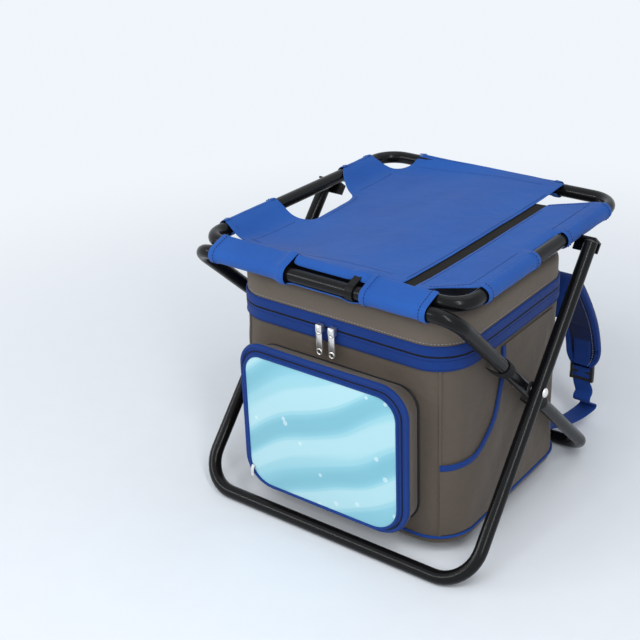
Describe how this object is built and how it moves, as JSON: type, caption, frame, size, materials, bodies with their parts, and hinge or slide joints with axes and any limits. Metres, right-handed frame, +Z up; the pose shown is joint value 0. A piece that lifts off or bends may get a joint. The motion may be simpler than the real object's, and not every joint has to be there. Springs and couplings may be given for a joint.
{
  "type": "folding cooler stool",
  "caption": "Folding stool of crossed black tube legs with a blue cloth seat over a zipped cooler bag with a front pocket and shoulder straps.",
  "frame": {"origin": "On the floor, under the middle of the stool's outline.", "axes": "+X to the stool's right as seen from the front, -Y the front with the pocket, +Z up. Symmetric about X but for the seat cloth and the zips."},
  "size_m": [0.403, 0.4086, 0.3422],
  "materials": {
    "paint": "gloss black paint",
    "plastic": "matte black",
    "steel": "bright plated",
    "blue": "woven, royal blue",
    "navy": "woven mesh, navy",
    "taupe": "woven, taupe",
    "liner": "smooth silver-grey film",
    "cord": "pale piping",
    "print": "smooth printed cloth, pale cyan"
  },
  "bodies": {
    "bag_frame": {"inner_frame_tube": "paint", "bag_shell": "taupe", "bag_liner": "liner", "zip_tape_lower": "blue", "zip_teeth_lower": "plastic", "bag_base_piping": "blue", "front_pocket_gusset": "taupe", "front_pocket_piping": "plastic", "pivot_bolt_left": "steel", "pivot_bolt_right": "steel", "pivot_washer_left": "plastic", "pivot_washer_right": "plastic", "side_pocket_left": "taupe", "side_pocket_right": "taupe", "side_pocket_binding_left": "blue", "side_pocket_binding_right": "blue", "hang_loop_front_left": "plastic", "hang_loop_front_right": "plastic", "hang_loop_rear_left": "plastic", "hang_loop_rear_right": "plastic", "shoulder_strap_left": "navy", "shoulder_strap_right": "navy", "strap_webbing_left": "blue", "strap_webbing_right": "blue", "strap_buckle_left": "plastic", "strap_buckle_right": "plastic"},
    "outer_legs": {"outer_frame_tube": "paint", "leg_end_cap_left": "plastic", "leg_end_cap_right": "plastic"},
    "seat": {"seat_ring_tube": "paint", "seat_stop_left": "paint", "seat_stop_right": "paint", "seat_hinge_clip_left": "plastic", "seat_hinge_clip_right": "plastic", "seat_main_panel": "blue", "seat_side_strip": "blue", "seat_slot_tape": "plastic"},
    "lid": {"lid_shell": "taupe", "zip_tape_upper": "blue", "zip_teeth_upper": "plastic", "lid_piping": "cord"},
    "pocket_flap": {"pocket_flap_panel": "print", "pocket_flap_binding": "blue"},
    "slider_left": {"zip_slider_left": "steel"},
    "slider_right": {"zip_slider_right": "steel"},
    "pull_left": {"zip_pull_left": "steel"},
    "pull_right": {"zip_pull_right": "steel"}
  },
  "joints": [
    {"name": "frame_fold", "type": "hinge", "parent": "bag_frame", "child": "outer_legs", "pos_m": [0, -0.04437, 0.18238], "axis": [1, 0, 0], "range_deg": [0, 76]},
    {"name": "seat_tip", "type": "hinge", "parent": "bag_frame", "child": "seat", "pos_m": [0, -0.19397, 0.32545], "axis": [1, 0, 0], "range_deg": [0, 110]},
    {"name": "lid_open", "type": "hinge", "parent": "bag_frame", "child": "lid", "pos_m": [0, 0.11153, 0.25595], "axis": [-1, 0, 0], "range_deg": [0, 49.5]},
    {"name": "pocket_open", "type": "hinge", "parent": "bag_frame", "child": "pocket_flap", "pos_m": [0, -0.19127, 0.03595], "axis": [1, 0, 0], "range_deg": [0, 80]},
    {"name": "zip_slide_left", "type": "slide", "parent": "bag_frame", "child": "slider_left", "axis": [-1, 0, 0], "range_m": [0, 0.07]},
    {"name": "zip_slide_right", "type": "slide", "parent": "bag_frame", "child": "slider_right", "axis": [1, 0, 0], "range_m": [0, 0.09]},
    {"name": "pull_swing_left", "type": "hinge", "parent": "slider_left", "child": "pull_left", "pos_m": [-0.017, -0.17057, 0.25345], "axis": [-1, 0, 0], "range_deg": [0, 80]},
    {"name": "pull_swing_right", "type": "hinge", "parent": "slider_right", "child": "pull_right", "pos_m": [0, -0.17057, 0.25345], "axis": [-1, 0, 0], "range_deg": [0, 80]}
  ],
  "couplings": [
    {"joint": "lid_open", "follows": "seat_tip", "ratio": 0.45}
  ]
}
